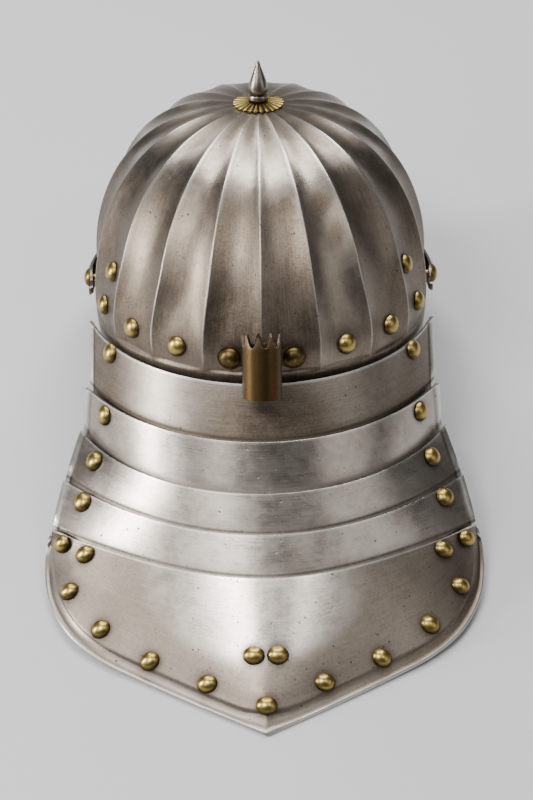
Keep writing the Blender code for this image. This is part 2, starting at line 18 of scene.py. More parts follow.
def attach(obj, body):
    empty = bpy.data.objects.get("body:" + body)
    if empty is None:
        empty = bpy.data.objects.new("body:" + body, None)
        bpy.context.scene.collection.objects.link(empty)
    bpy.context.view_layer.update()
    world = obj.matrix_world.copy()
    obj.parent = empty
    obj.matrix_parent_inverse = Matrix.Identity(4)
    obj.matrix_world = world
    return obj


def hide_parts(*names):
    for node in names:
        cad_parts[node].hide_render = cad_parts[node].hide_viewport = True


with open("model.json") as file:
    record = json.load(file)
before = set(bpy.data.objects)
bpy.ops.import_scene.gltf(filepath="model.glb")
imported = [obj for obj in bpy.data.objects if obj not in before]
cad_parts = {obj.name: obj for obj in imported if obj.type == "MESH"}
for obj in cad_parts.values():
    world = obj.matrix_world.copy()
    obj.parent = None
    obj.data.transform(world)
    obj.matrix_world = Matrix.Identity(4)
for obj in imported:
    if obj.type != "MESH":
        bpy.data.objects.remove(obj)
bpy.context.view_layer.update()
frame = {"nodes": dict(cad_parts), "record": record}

# Sizes are in millimetres and angles in radians, unless a name or a comment says otherwise.
MM = 0.001
GAP = 0.35  # between a piece and what it lies on
PLATE = 1.5
EDGE = 0.3  # how wide the plates' edges are softened
BRASS_EDGE = 0.2

# Where the helmet's own frame lies: the flat end of the spike's stem is on its Z axis.
STEM_END = 110.3
seat = next(mount for mount in frame["record"]["mounts"] if mount["name"] == "stand_seat")
UP = -Vector(seat["axis"]).normalized()
FORWARD = UP.cross(Vector((1, 0, 0)))
ORIGIN = Vector(seat["pos_m"]) - UP * STEM_END * MM
HELMET = Matrix.Translation(ORIGIN) @ Matrix((Vector((1, 0, 0)), FORWARD, UP)).transposed().to_4x4()
LIE_ANGLE = math.atan2(UP.y, UP.z)

SKULL_HALF_WIDTH = 104.0
SKULL_HALF_LENGTH = 116.0
SKULL_HEIGHT = 114.5
BACK_SQUARENESS = 1.93
SIDE_SQUARENESS = 2.4
FRONT_SQUARENESS = 3.4
ROW_SQUARENESS = 2.5
SKULL_TAPER = 0.001
SKULL_RIM = -27.0
FLUTES = 18
FLUTE_ANGLE = 2 * math.pi / FLUTES
FLUTE_FOOT = -12.5
FLUTE_FLOOR = -9.5
FLUTE_FULL_HEIGHT = 35.0
FLUTE_DEPTH_LOW = 1.5
FLUTE_TRAY = 4.0
FLUTE_DEPTH = 5.2
FLUTE_CROWN = 0.35  # how much deeper the flutes are for their width at the crown
CROWN_LOW = 88.0
FLUTE_LEAN_LOW = math.radians(2.2)
FLUTE_LEAN = math.radians(6.0)
FLUTE_LEAN_HEIGHT = 45.0
RIDGE_ROUND = 0.05  # share of half a flute over which its ridge is rounded
CROWN_HOLE = 3.6

Lame = namedtuple("Lame", "top half_width corner_y centre_y roundness")
LAMES = (
    Lame(top=-15.0, half_width=105.2, corner_y=-24.0, centre_y=-119.5, roundness=0.90),
    Lame(top=-45.0, half_width=107.0, corner_y=-57.0, centre_y=-134.5, roundness=0.66),
    Lame(top=-71.0, half_width=111.3, corner_y=-63.0, centre_y=-149.0, roundness=0.79),
    Lame(top=-90.5, half_width=120.4, corner_y=-91.5, centre_y=-162.5, roundness=0.10),
    Lame(top=-110.0, half_width=126.5, corner_y=-119.0, centre_y=-178.0, roundness=-2.0),
)
LAME_OVERLAP = 10.0
LAME_INSET = 2.9
LAME_INSET_CORNER = 1.7
LAME_FORWARD = 0.022
TURNED_EDGE = 1.2
TURNED_WIDTH = 2.4

RimPoint = namedtuple("RimPoint", "x y lift")
TAIL_TIP = Vector((0.0, -237.0, -176.8))
RIM = (
    RimPoint(x=0.0, y=-237.0, lift=0.0),
    RimPoint(x=36.0, y=-219.0, lift=0.0),
    RimPoint(x=72.0, y=-200.5, lift=0.8),
    RimPoint(x=97.0, y=-187.0, lift=2.6),
    RimPoint(x=115.0, y=-171.0, lift=4.3),
    RimPoint(x=127.0, y=-149.0, lift=5.4),
    RimPoint(x=131.0, y=-127.0, lift=6.4),
    RimPoint(x=130.0, y=-115.0, lift=13.0),
    RimPoint(x=126.5, y=-119.0, lift=23.3),
)
RIM_BAND = 9.0
RIM_BAND_TIP = 4.0
RIM_TIP_WIDTH = 0.05
RIM_TAPER = 3.0
KEEL_ROUND = 0.10
KEEL_SINK = 0.5  # share of its rounding by which the keel sinks; the rest swells beside it
KEEL_ROWS = (1.0, 1.5)
KEEL_SIDES = (0.1, 0.5)
CORNER_FADE = 0.025  # share of half the rim over which its relief runs out at a corner
LAST_STEADY = 0.985  # past this share the last lame keeps the direction of its thickness
BandRow = namedtuple("BandRow", "inwards raised")
BAND_ROWS = (
    BandRow(inwards=0.0, raised=0.0),
    BandRow(inwards=0.7, raised=0.57),
    BandRow(inwards=1.4, raised=0.78),
    BandRow(inwards=2.1, raised=0.5),
    BandRow(inwards=2.9, raised=-0.6),
    BandRow(inwards=3.3, raised=-0.8),
    BandRow(inwards=7.6, raised=-0.8),
    BandRow(inwards=8.3, raised=-0.55),
    BandRow(inwards=9.0, raised=0.0),
)

PEAK_TOP = 7.0
PEAK_BEND = -9.0
PEAK_END = math.radians(5.0)
PEAK_EAR_BLUNT = 1.04  # 1 for a round end
PEAK_REACH = 53.5
PEAK_SPREAD = 1.6
PEAK_GROWTH = 1.2
PEAK_POINT = 8.0
PEAK_POINT_WIDTH = math.radians(35)
PEAK_EDGE_SIDE = -16.0
PEAK_SIDE_ANGLE = math.radians(40)
PEAK_LEAST = 1.2
PEAK_TIP_LIFT = -0.15

PETALS = 24
ROSETTE_RADIUS = 15.6
ROSETTE_NOTCH = 1.3
ROSETTE_HOLE = 3.6
ROSETTE_PLATE = 1.0
ROSETTE_DOME = 1.2
PETAL_HOLLOW = 0.55
ROSETTE_TILT = 0.06
Ring = namedtuple("Ring", "radius height")
SPIKE = (
    Ring(radius=0.0, height=141.7),
    Ring(radius=0.9, height=141.1),
    Ring(radius=2.0, height=137.3),
    Ring(radius=3.4, height=133.6),
    Ring(radius=4.8, height=129.8),
    Ring(radius=5.7, height=126.2),
    Ring(radius=5.8, height=123.8),
    Ring(radius=5.0, height=121.8),
    Ring(radius=3.9, height=121.0),
    Ring(radius=5.8, height=120.7),
    Ring(radius=6.3, height=119.4),
    Ring(radius=5.9, height=117.8),
    Ring(radius=3.1, height=117.8),
    Ring(radius=3.1, height=112.1),
    Ring(radius=6.3, height=112.1),
    Ring(radius=6.3, height=110.3),
    Ring(radius=0.0, height=110.3),
)
HOLDER_RADIUS = 11.2
HOLDER_WALL = 1.2
HOLDER_FOOT = Vector((0.0, -140.0, -14.2))
HOLDER_LEAN = math.radians(16)
HOLDER_LENGTH = 28.9
HOLDER_POINT = 6.2
HOLDER_POINTS = 9
HOLDER_POINT_SHARPNESS = 1.4
HOLDER_TURN = math.radians(-10)
EAR_RADIUS = 7.2
EAR_WAIST = 5.0
EAR_PLATE = 1.4
WEB_LOW = (-3.0, -121.0, -6.5)
WEB_HIGH = (3.0, -117.0, 8.0)
WEB_REACH = 10.6

ROW_RISE = 4.0
ROW_ANGLE = FLUTE_ANGLE / 2
HEAD = 6.2
BIG_HEAD = 6.3
DOME = 0.62
Pivot = namedtuple("Pivot", "across up")
PIVOTS = (
    Pivot(across=0.860, up=35.4),
    Pivot(across=0.877, up=28.4),
    Pivot(across=0.885, up=23.2),
    Pivot(across=0.885, up=25.0),
    Pivot(across=0.776, up=1.785),
)
Spot = namedtuple("Spot", "across row")
RIM_RIVETS = (
    Spot(across=0.186, row=1.09),
    Spot(across=0.372, row=1.07),
    Spot(across=0.553, row=1.13),
    Spot(across=0.727, row=1.17),
    Spot(across=0.900, row=1.62),
)
TIP_RIVET_ROW = 1.05
MIDDLE = Spot(across=0.041, row=1.405)
High = namedtuple("High", "angle rise")
HIGH = {"left": High(angle=68.2, rise=11.1), "right": High(angle=66.3, rise=13.2)}


# ---------------------------------------------------------------- surfaces, in millimetres


def smooth(low, high, value):
    share = min(max((value - low) / (high - low), 0.0), 1.0)
    return share * share * (3 - 2 * share)


def squareness(angle):
    back = math.cos(angle)
    most = BACK_SQUARENESS if back > 0 else FRONT_SQUARENESS
    return SIDE_SQUARENESS + (most - SIDE_SQUARENESS) * back * back


def flute_inset(angle, height, scale):
    across = abs(2 * ((angle / FLUTE_ANGLE) % 1.0) - 1)  # 0 in the middle of a flute, 1 at its ridges
    beyond = across - (1 - RIDGE_ROUND)
    if beyond > 0:
        across -= beyond * beyond / (2 * RIDGE_ROUND)
    foot = smooth(FLUTE_FOOT, FLUTE_FLOOR, height)
    up = smooth(-5, FLUTE_FULL_HEIGHT, height)
    deep = FLUTE_DEPTH_LOW + (FLUTE_DEPTH - FLUTE_DEPTH_LOW) * up
    deep *= 1 + FLUTE_CROWN * smooth(CROWN_LOW, SKULL_HEIGHT, height)
    return foot * deep * scale * (1 - across ** (FLUTE_TRAY + (2 - FLUTE_TRAY) * up))


def skull_point(angle, height, scale):
    """A point of the outside of the skull, whose section there has this share of its full size."""
    out = -flute_inset(angle, height, scale)
    lean = FLUTE_LEAN_LOW + (FLUTE_LEAN - FLUTE_LEAN_LOW) * smooth(0, FLUTE_LEAN_HEIGHT, height)
    angle -= lean * math.sin(angle)
    normal = Vector((math.sin(angle) / SKULL_HALF_WIDTH, -math.cos(angle) / SKULL_HALF_LENGTH, 0))
    x = SKULL_HALF_WIDTH * scale * math.sin(angle)
    y = -SKULL_HALF_LENGTH * scale * math.cos(angle)
    return Vector((x, y, height)) + out * normal.normalized()


def table_height(y, lift=0.0):
    return TAIL_TIP.z + (y - TAIL_TIP.y) * math.tan(LIE_ANGLE) + lift


def lame_section(lame, across):
    """A point of a lame's upper edge; across runs from -1 to 1."""
    across = float(across)
    bend = lame.roundness
    depth = (1 - math.sqrt(1 - bend * across * across)) / (1 - math.sqrt(1 - bend))
    y = lame.centre_y + (lame.corner_y - lame.centre_y) * depth
    return Vector((lame.half_width * across, y, lame.top))


def lame_inner_edge(lame, across):
    """Where the lame above passes inside the upper edge of this one."""
    wide = across * (1 + LAME_FORWARD)
    step = 0.001
    along = lame_section(lame, wide + step) - lame_section(lame, wide - step)
    inwards = Vector((-along.y, along.x, 0)).normalized()
    return lame_section(lame, wide) + inwards * (LAME_INSET + LAME_INSET_CORNER * across**4)


def lame_fall(number, across):
    """How a lame runs from its upper edge, for each millimetre down."""
    if number == len(LAMES):
        share = last_share(across)
        run = last_rim(share) - last_top(share)
    else:
        run = lame_inner_edge(LAMES[number], across) - lame_section(LAMES[number - 1], across)
    return run / -run.z


def lame_point(number, across, down):
    """A point of the outside of lame 1 to 4; down is in millimetres below its upper edge."""
    lame, below = LAMES[number - 1], LAMES[number]
    over = down - (lame.top - below.top)
    if over <= 0:
        return lame_section(lame, across) + lame_fall(number, across) * down
    beside = across * (1 + LAME_FORWARD)
    return lame_inner_edge(below, across) + lame_fall(number + 1, beside) * over


def rounded(points, share):
    """A point of the smooth curve through the points, at a share of its length."""
    place = float(share) * (len(points) - 1)
    index = min(int(place), len(points) - 2)
    part = place - index
    before = points[index - 1] if index else 2 * points[0] - points[1]
    after = points[index + 2] if index + 2 < len(points) else 2 * points[-1] - points[-2]
    start, end = points[index], points[index + 1]
    return 0.5 * (
        2 * start
        + (end - before) * part
        + (2 * before - 5 * start + 4 * end - after) * part**2
        + (3 * (start - end) + after - before) * part**3
    )


def by_length(curve):
    """The curve, taken by a share of its length from -1 to 1, and the share at each of its own values."""
    steps = np.linspace(-1, 1, 401)
    points = [curve(step) for step in steps]
    lengths = np.cumsum([0.0] + [(end - start).length for start, end in zip(points, points[1:])])
    shares = 2 * lengths / lengths[-1] - 1
    return (
        lambda share: curve(float(np.interp(share, shares, steps))),
        lambda value: float(np.interp(value, steps, shares)),
    )


def rim_line(across):
    points = [Vector((point.x, point.y, table_height(point.y, point.lift))) for point in RIM]
    found = rounded(points, min(abs(across), 1.0))
    return Vector((math.copysign(found.x, across), found.y, found.z))


last_top, last_share = by_length(lambda across: lame_section(LAMES[-1], across))
last_rim, _ = by_length(rim_line)


def last_lame_point(across, row):
    """A point of the outside of the last lame: row runs over its rim band to 1, and on to 2 at its top."""
    rim, top = last_rim(across), last_top(across)
    if row > 1:
        soft = KEEL_ROUND * smooth(*KEEL_ROWS, row)
        sink = KEEL_SINK * soft * (1 - smooth(*KEEL_SIDES, abs(across)))
        eased = last_rim(math.hypot(across, soft) - sink)
        rim = Vector((rim.x, eased.y, eased.z))
    length = (top - rim).length
    band = RIM_BAND + RIM_BAND_TIP * math.exp(-((across / RIM_TIP_WIDTH) ** 2))
    band /= max(length, RIM_TAPER * band)
    return rim.lerp(top, row * band if row < 1 else band + (1 - band) * (row - 1))


def last_lame_relief(across, row):
    """The bead and the sunk band along the rim, which run out at its corners."""
    inwards, raised = zip(*BAND_ROWS)
    return min((1 - abs(across)) / CORNER_FADE, 1.0) * float(np.interp(row * RIM_BAND, inwards, raised))


def skull_surface(angle, row):
    """Angle 0 is the middle of the back.

    Rows below 0 are heights, and rows above 0 are angles up to the crown.
    """
    if row < 0:
        return skull_point(angle, row, 1 + SKULL_TAPER * row)
    scale = math.cos(row) ** (2 / ROW_SQUARENESS)
    height = SKULL_HEIGHT * (1 - scale ** squareness(angle)) ** (1 / squareness(angle))
    return skull_point(angle, height, scale)


def peak_surface(angle, row):
    """Angle 0 is over the right ear; row runs from 0 at the edge over 1 at the bend to 2 at the top."""
    turn = max(min(angle, math.pi - angle, math.pi / 2), 0.0)
    past = min(max(-angle, angle - math.pi, 0.0) / PEAK_END, 1.0)
    ear = math.sqrt(PEAK_EAR_BLUNT - past * past)
    middle = row_height(angle + math.pi / 2)
    low, high = middle + PEAK_BEND * ear, middle + PEAK_TOP * ear
    point = max(0.0, 1 - (math.pi / 2 - turn) / PEAK_POINT_WIDTH)
    reach = PEAK_REACH * math.sin(min(PEAK_GROWTH * turn, math.pi / 2)) ** PEAK_SPREAD
    reach = max(reach + PEAK_POINT * point**2, PEAK_LEAST)
    bend = plain_point(angle + math.pi / 2, low, GAP + PLATE)
    if row > 1:
        return bend + Vector((0, 0, (row - 1) * (high - low)))
    edge = plain_point(angle + math.pi / 2, 0, GAP + PLATE + reach)
    side = low + (PEAK_EDGE_SIDE - low) * smooth(0, PEAK_SIDE_ANGLE, turn)
    tip = table_height(SKULL_HALF_LENGTH + GAP + PLATE + PEAK_REACH + PEAK_POINT, PEAK_TIP_LIFT)
    edge.z = side + (tip - PEAK_EDGE_SIDE) * smooth(PEAK_SIDE_ANGLE, math.pi / 2, turn)
    return edge.lerp(bend, row)


def row_height(angle):
    """How high the row of rivets round the skull runs."""
    return ROW_RISE * math.sin(angle) ** 2


def row_at(angle, height):
    """The row of the skull's surface that is at a height above 0."""
    scale = (1 - (height / SKULL_HEIGHT) ** squareness(angle)) ** (1 / squareness(angle))
    return math.acos(scale ** (ROW_SQUARENESS / 2))


def plain_point(angle, height, out):
    """A point outside the skull, as if it had no flutes."""
    normal = Vector((math.sin(angle) / SKULL_HALF_WIDTH, -math.cos(angle) / SKULL_HALF_LENGTH, 0))
    x, y = SKULL_HALF_WIDTH * math.sin(angle), -SKULL_HALF_LENGTH * math.cos(angle)
    return Vector((x, y, height)) + out * normal.normalized()


def holder_surface(angle, row):
    """Rows are lengths from the foot, and the points stand in the last row, 1 above the notches."""
    wave = (0.5 + 0.5 * math.cos(HOLDER_POINTS * (angle - HOLDER_TURN))) ** HOLDER_POINT_SHARPNESS
    length = row + HOLDER_POINT * wave * min(max(row - HOLDER_LENGTH, 0.0), 1.0)
    ring = Vector((HOLDER_RADIUS * math.sin(angle), -HOLDER_RADIUS * math.cos(angle), length))
    return HOLDER_FOOT + Matrix.Rotation(-HOLDER_LEAN, 3, "X") @ ring


def ear_surface(across, row):
    """The strap that is riveted to the skull: across is in radians and row from -1 to 1."""
    away = (abs(across) - ROW_ANGLE) * SKULL_HALF_WIDTH
    ear = math.sqrt(max(EAR_RADIUS**2 - away**2, 1.0))
    half = ear if away > 0 else max(ear, EAR_WAIST)
    return plain_point(across, half * row, GAP + EAR_PLATE)


def rosette_surface(angle, row):
    """Rows run from 0 at the edge to 1 at the hole."""
    share = 1 - row
    wave = abs(math.sin(PETALS * angle / 2))
    radius = ROSETTE_HOLE + share * (ROSETTE_RADIUS - ROSETTE_NOTCH * (1 - wave) - ROSETTE_HOLE)
    height = SKULL_HEIGHT + GAP + ROSETTE_PLATE + ROSETTE_DOME * (1 - share * share)
    height -= ROSETTE_TILT * radius * math.cos(angle)
    return Vector((radius * math.sin(angle), -radius * math.cos(angle), height))


def rosette_relief(angle, row):
    """The petals are hollowed, with raised ribs between them."""
    wave = abs(math.sin(PETALS * angle / 2))
    return -PETAL_HOLLOW * (1 - wave) * min(1.0, 4 * (1 - row))


# ---------------------------------------------------------------- pieces


def normal_at(surface, column, row):
    step = 1e-3
    along = surface(column + step, row) - surface(column - step, row)
    upwards = surface(column, row + step) - surface(column, row - step)
    return along.cross(upwards).normalized()


def lengths_along(points):
    return [0.0, *np.cumsum([(end - start).length for start, end in zip(points, points[1:])])]


def sheet(surface, columns, rows, thickness=PLATE, relief=None, last_column=10.0):
    """A closed piece of plate whose outside follows the surface, seen with the rows running up."""
    columns, rows = [float(column) for column in columns], [float(row) for row in rows]
    shape = bmesh.new()
    bmesh.ops.create_grid(shape, x_segments=len(columns) - 1, y_segments=len(rows) - 1, size=0.5)
    column_of = shape.verts.layers.float.new("column")
    row_of = shape.verts.layers.float.new("row")
    laid = shape.loops.layers.uv.new("laid")
    middle_column, middle_row = columns[len(columns) // 2], rows[len(rows) // 3]
    widths = lengths_along([surface(column, middle_row) for column in columns])
    heights = lengths_along([surface(middle_column, row) for row in rows])
    for vert in shape.verts:
        column = round((vert.co.x + 0.5) * (len(columns) - 1))
        row = round((vert.co.y + 0.5) * (len(rows) - 1))
        vert[column_of], vert[row_of] = columns[column], rows[row]
        for loop in vert.link_loops:
            loop[laid].uv = (widths[column] * MM, heights[row] * MM)
        vert.co = surface(columns[column], rows[row]) * MM
    bmesh.ops.remove_doubles(shape, verts=shape.verts, dist=0.005 * MM)
    outside = set(shape.verts)
    bmesh.ops.extrude_face_region(shape, geom=shape.faces[:], use_keep_orig=True)
    for vert in shape.verts:
        column, row = vert[column_of], vert[row_of]
        raised = (relief(column, row) if relief else 0.0) if vert in outside else -thickness
        column = max(min(column, last_column), -last_column)
        vert.co += normal_at(surface, column, row) * raised * MM
    bmesh.ops.recalc_face_normals(shape, faces=shape.faces)
    return shape


def paint(shape, **marks):
    """Gives each vertex the values that its finish reads, from its column, row and place in millimetres."""
    for name, amount in marks.items():
        layer = shape.verts.layers.float.new(name)
        column_of, row_of = (shape.verts.layers.float[key] for key in ("column", "row"))
        for vert in shape.verts:
            vert[layer] = amount(vert[column_of], vert[row_of], vert.co / MM)
    return shape


def turned(profile, sides):
    shape = bmesh.new()
    verts = [shape.verts.new((ring.radius * MM, 0, ring.height * MM)) for ring in profile]
    edges = [shape.edges.new(pair) for pair in zip(verts, verts[1:])]
    bmesh.ops.spin(
        shape, geom=verts + edges, axis=(0, 0, 1), cent=(0, 0, 0), angle=2 * math.pi, steps=sides,
        use_merge=True,
    )
    bmesh.ops.remove_doubles(shape, verts=shape.verts, dist=0.001 * MM)
    bmesh.ops.recalc_face_normals(shape, faces=shape.faces)
    return shape


def finished(name, shape, look, body, replaced=(), sharp=40, edge=0.0):
    """Makes a piece from a shape in the helmet's own frame."""
    shape.transform(HELMET)
    mesh = bpy.data.meshes.new(name)
    shape.to_mesh(mesh)
    shape.free()
    mesh.shade_smooth()
    mesh.set_sharp_from_angle(angle=math.radians(sharp))
    mesh.materials.append(look)
    made = bpy.data.objects.new(name, mesh)
    bpy.context.scene.collection.objects.link(made)
    if edge:
        bevel = made.modifiers.new("edges", "BEVEL")
        bevel.width = edge * MM
        bevel.segments = 2
        bevel.limit_method = "ANGLE"
        bevel.angle_limit = math.radians(60)
        bevel.harden_normals = False
    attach(made, body)
    if replaced:
        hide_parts(*replaced)


def around(count):
    return [2 * math.pi * step / count for step in range(count + 1)]


def lame_drop(number):
    return LAMES[number - 1].top - LAMES[number].top + LAME_OVERLAP


def lame_surface(number):
    if number == len(LAMES):
        return last_lame_point
    return lambda across, row: lame_point(number, across, lame_drop(number) - row)


BUMP_DEPTH = 0.10
PIT_EDGE = (0.10, 0.26)  # distances from a pit's middle, in cells


class Value:
    """What a node gives. Each operator on it adds a Math node to the finish."""

    def __init__(self, finish, socket):
        self.finish, self.socket = finish, socket

    def math(self, operation, *terms, clamp=False):
        settings = {"operation": operation, "use_clamp": clamp}
        return self.finish.node("ShaderNodeMath", settings, dict(enumerate(terms)))

    def __add__(self, other):
        return self.math("ADD", self, other)

    def __sub__(self, other):
        return self.math("SUBTRACT", self, other)

    def __rsub__(self, other):
        return self.math("SUBTRACT", other, self)

    def __mul__(self, other):
        return self.math("MULTIPLY", self, other)

    def __pow__(self, other):
        return self.math("POWER", self, other)

    __radd__, __rmul__ = __add__, __mul__

    def clamped(self):
        return self.math("ADD", self, 0.0, clamp=True)

    def over(self, low, high):
        """0 below the low value, 1 above the high one, and smooth between them."""
        sockets = {"Value": self, "From Min": low, "From Max": high}
        return self.finish.node("ShaderNodeMapRange", {"interpolation_type": "SMOOTHSTEP"}, sockets)


class Finish:
    """A metal with its wear; what varies over the surface is worked out by nodes."""

    def __init__(self, name):
        self.material = bpy.data.materials.new(name)
        self.material.use_nodes = True
        self.tree = self.material.node_tree
        self.shader = self.tree.nodes["Principled BSDF"]
        self.shader.inputs["Metallic"].default_value = 1.0
        sockets = {"Location": ORIGIN, "Rotation": HELMET.to_euler(), "Scale": (MM, MM, MM)}
        sockets["Vector"] = self.node("ShaderNodeTexCoord", output="Object")
        self.place = self.node("ShaderNodeMapping", {"vector_type": "TEXTURE"}, sockets)  # millimetres

    def node(self, kind, settings={}, sockets={}, output=0):
        made = self.tree.nodes.new(kind)
        for key, value in settings.items():
            setattr(made, key, value)
        for key, value in sockets.items():
            self.join(made.inputs[key], value)
        return Value(self, made.outputs[output])

    def join(self, socket, value):
        if isinstance(value, Value):
            self.tree.links.new(value.socket, socket)
        else:
            socket.default_value = (*value, 1.0) if socket.type == "RGBA" else value

    def mark(self, name):
        """What was painted on the piece under this name."""
        return self.node("ShaderNodeAttribute", {"attribute_name": name}, output="Fac")

    def noise(self, size, detail=3.0, roughness=0.5, where=None, distortion=0.0):
        """Clouds of about this size in millimetres."""
        sockets = {"Vector": where or self.place, "Scale": 1 / size, "Detail": detail}
        sockets |= {"Roughness": roughness, "Distortion": distortion}
        return self.node("ShaderNodeTexNoise", {}, sockets)

    def stretched(self, scale):
        """Places along the piece's columns and rows, in millimetres, for a grain that follows them."""
        laid = self.node("ShaderNodeUVMap", {"uv_map": "laid"})
        settings = {"operation": "MULTIPLY"}
        return self.node("ShaderNodeVectorMath", settings, {0: laid, 1: [part / MM for part in scale]})

    def pits(self, size, share):
        """Spots in this share of cells of this size: 1 in the middle of each."""
        cells = {"Vector": self.place, "Scale": 1 / size}
        near = self.node("ShaderNodeTexVoronoi", {}, cells, "Distance")
        chance = self.node("ShaderNodeTexVoronoi", {}, cells, "Color")
        chance = self.node("ShaderNodeSeparateColor", {}, {"Color": chance})
        return (1 - near.over(*PIT_EDGE)) * (1 - chance.over(share - 0.05, share))

    def mix(self, share, first, second):
        """The first colour where the share is 0, and the second where it is 1."""
        settings = {"data_type": "RGBA", "clamp_factor": True}
        return self.node("ShaderNodeMix", settings, {0: share, 6: first, 7: second}, 2)

    def done(self, colour, roughness, height):
        self.join(self.shader.inputs["Base Color"], colour)
        self.join(self.shader.inputs["Roughness"], roughness)
        sockets = {"Strength": 1.0, "Distance": BUMP_DEPTH * MM, "Height": height}
        self.join(self.shader.inputs["Normal"], self.node("ShaderNodeBump", {}, sockets))
        return self.material


WORN_EDGE_AND_HIGHLIGHT = (0.78, 0.755, 0.72)
BROWN = (0.085, 0.064, 0.046)
LIGHT_BROWN = (0.19, 0.150, 0.112)
RUST = (0.16, 0.085, 0.042)
DIRT_AND_SHADE = (0.038, 0.029, 0.021)


def worn_steel(name, light, dark, grain, roughness):
    """Brushed steel, brown where it was left damp, with painted shade and painted highlights from its marks;
    the grain runs along the columns or the rows.
    """
    finish = Finish(name)
    broad = finish.noise(60.0, 2.0)
    mottle = finish.noise(14.0, 6.0, 0.65, distortion=0.5)
    patches = finish.noise(5.0, 6.0, 0.7)
    speckle = finish.noise(1.3, 3.0)
    lines = finish.stretched((1.0, 0.045, 1.0) if grain == "rows" else (0.03, 1.0, 1.0))
    brushed = finish.noise(0.8, 3.0, 0.6, lines)
    coarse = finish.noise(3.0, 2.0, 0.5, lines)
    # Where it is brown, worn bright or dirty, and where shade and highlights are painted.
    stain = (finish.mark("stain") * (0.55 + mottle * 0.9)).clamped()
    damp = (finish.mark("stain") + 0.15) * patches.over(0.60, 0.70)
    halo = (finish.mark("halo") * (0.35 + speckle * 1.2)).clamped()
    seam, wear = finish.mark("seam"), finish.mark("wear")
    large_pits = finish.pits(3.2, 0.16) * mottle.over(0.44, 0.56)
    small_pits = finish.pits(1.8, 0.24) * patches.over(0.46, 0.58)
    specks = speckle.over(0.68, 0.76) * (0.2 + stain) + finish.pits(1.4, 0.4) * stain * 0.6
    spots = (large_pits + small_pits + specks).clamped()
    # The colours, from the bare steel up.
    tone = broad * 0.35 + mottle * 0.40 + patches * 0.35 + brushed * 0.15 + coarse * 0.06 - 0.155
    colour = finish.mix(tone.over(0.32, 0.68), dark, light)
    brown = finish.mix((speckle * 0.4 + brushed * 0.4 + mottle * 0.4).over(0.42, 0.78), BROWN, LIGHT_BROWN)
    # Brown stain, which also carries painted shade and a painted reflection, and is left off for a painted
    # highlight on the last lame.
    colour = finish.mix(stain * 0.93, colour, brown)
    colour = finish.mix(damp * 0.55, colour, RUST)
    colour = finish.mix(halo * 0.75, colour, BROWN)
    # Worn edges, which also carry painted highlights on the plates' edges and the crown's ridges.
    colour = finish.mix((wear * (0.55 + speckle * 0.6)).clamped(), colour, WORN_EDGE_AND_HIGHLIGHT)
    # Painted shade along seams, creases and beside the crown's ridges; the pits below are real dirt.
    colour = finish.mix((seam * (0.6 + speckle * 0.8)).clamped(), colour, DIRT_AND_SHADE)
    colour = finish.mix(spots * 0.88, colour, DIRT_AND_SHADE)
    rough = roughness - 0.12 + mottle * 0.10 + brushed * 0.10
    rough += stain * 0.18 + halo * 0.05 + spots * 0.2 + seam * 0.2
    height = (brushed + coarse) * 0.14 + (patches + mottle) * 0.3 - spots * 0.6 - stain * speckle * 0.3
    return finish.done(colour, rough, height)


def brass_finish(name, light, dark, roughness, streak=None):
    """Brass with its dark skin left toward the edges."""
    finish = Finish(name)
    tint = finish.noise(9.0, 2.0)
    mottle = finish.noise(2.4, 4.0, 0.6)
    scuff = finish.noise(0.9, 2.0)
    edge = finish.mark("edge")
    skin = (edge.over(0.55, 1.02) * 0.9 + mottle.over(0.5, 0.75) * 0.35 + tint * 0.3 - 0.1).clamped()
    colour = finish.mix(skin, light, dark)
    if streak:
        lines = finish.noise(4.5, 2.0, 0.5, finish.stretched((1.0, 0.12, 1.0)))
        colour = finish.mix(lines.over(0.50, 0.60) * 0.8, colour, streak)
        colour = finish.mix(finish.mark("wear") * 0.45, colour, LIGHT_BROWN)
    rough = roughness + mottle * 0.12 + skin * 0.10
    return finish.done(colour, rough, mottle * 0.6 + scuff * 0.25 + tint)


skull_steel = worn_steel("skull_steel", (0.48, 0.425, 0.365), (0.26, 0.212, 0.168), "rows", 0.28)
lame_steel = worn_steel("lame_steel", (0.62, 0.565, 0.51), (0.37, 0.315, 0.262), "columns", 0.28)
spike_steel = brass_finish("spike_steel", (0.27, 0.235, 0.195), (0.08, 0.062, 0.044), 0.24)
rivet_brass = brass_finish("rivet_brass", (0.44, 0.32, 0.10), (0.085, 0.060, 0.024), 0.25)
rosette_brass = brass_finish("rosette_brass", (0.40, 0.30, 0.09), (0.06, 0.045, 0.018), 0.25)
HOLDER_STREAK = (0.105, 0.042, 0.022)
holder_brass = brass_finish("holder_brass", (0.085, 0.054, 0.020), (0.030, 0.022, 0.010), 0.33, HOLDER_STREAK)


Blot = namedtuple("Blot", "x z width height strength")
SKULL_BLOTS = (  # brown places, in the helmet's own frame
    Blot(x=0, z=10, width=38, height=36, strength=0.85),
    Blot(x=15, z=77, width=6, height=8, strength=0.80),
    Blot(x=20, z=66, width=7, height=8, strength=0.70),
    Blot(x=22, z=50, width=9, height=20, strength=0.70),
    Blot(x=34, z=78, width=10, height=10, strength=0.60),
    Blot(x=44, z=62, width=7, height=12, strength=0.45),
    Blot(x=92, z=12, width=22, height=60, strength=0.70),
    Blot(x=-94, z=12, width=20, height=60, strength=0.70),
    Blot(x=-70, z=2, width=14, height=26, strength=0.35),
    Blot(x=60, z=2, width=14, height=20, strength=0.30),
)


# How brown each flute is below the bright part of the skull, partly as painted shade below the highlight;
# flute 0 is the one right of the middle.
PANEL_TONES = {-3: 0.85, -2: 0.86, -1: 0.92, 0: 0.85, 1: 0.50, 2: 0.75}
PANEL_TONE = 0.80
PANEL_TOP = (77, 91)
CROWN_TOP = 106


